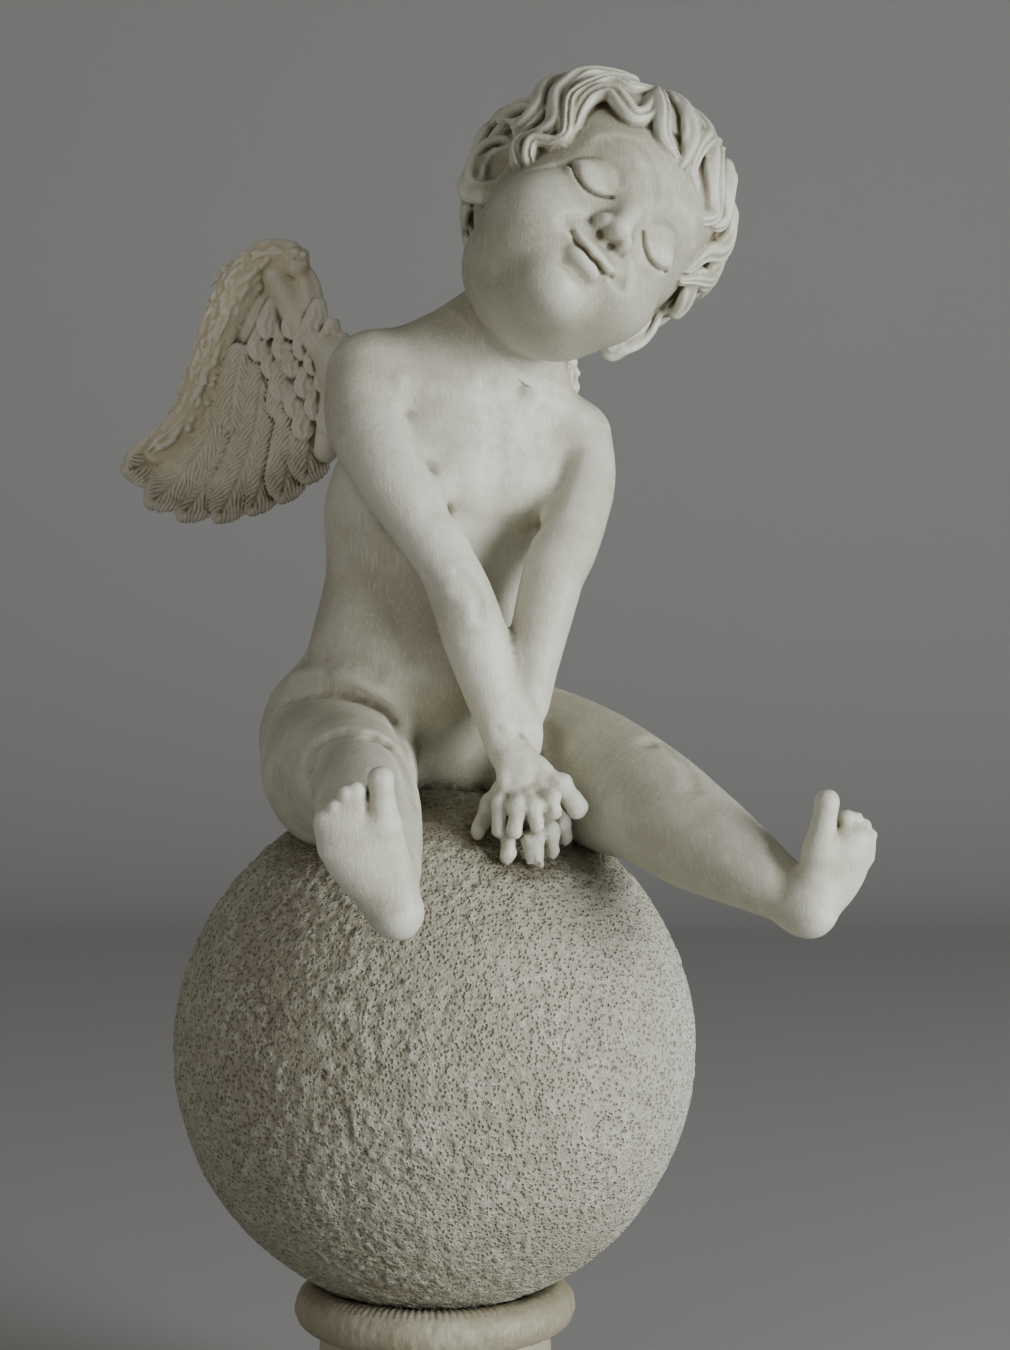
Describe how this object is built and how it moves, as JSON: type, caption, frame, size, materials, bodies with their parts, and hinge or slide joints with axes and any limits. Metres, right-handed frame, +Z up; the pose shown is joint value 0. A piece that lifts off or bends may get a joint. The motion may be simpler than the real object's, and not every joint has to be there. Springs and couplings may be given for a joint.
{
  "type": "putto statue",
  "caption": "Winged putto with closed eyes seated on a rough-textured ball, both hands on the ball between the spread legs, on a low turned socle.",
  "frame": {"origin": "centre of the socle's flat underside", "axes": "+Z up; -Y towards the viewer of the picture; +X to the viewer's right"},
  "size_m": [0.2292, 0.251, 0.4254],
  "materials": {
    "cast_stone": "cream cast stone with brown-grey patina in the creases",
    "cast_stone_socle": "rougher cast stone with darker patina"
  },
  "bodies": {
    "root": {"putto_on_ball": "cast_stone", "socle": "cast_stone_socle"}
  },
  "joints": []
}
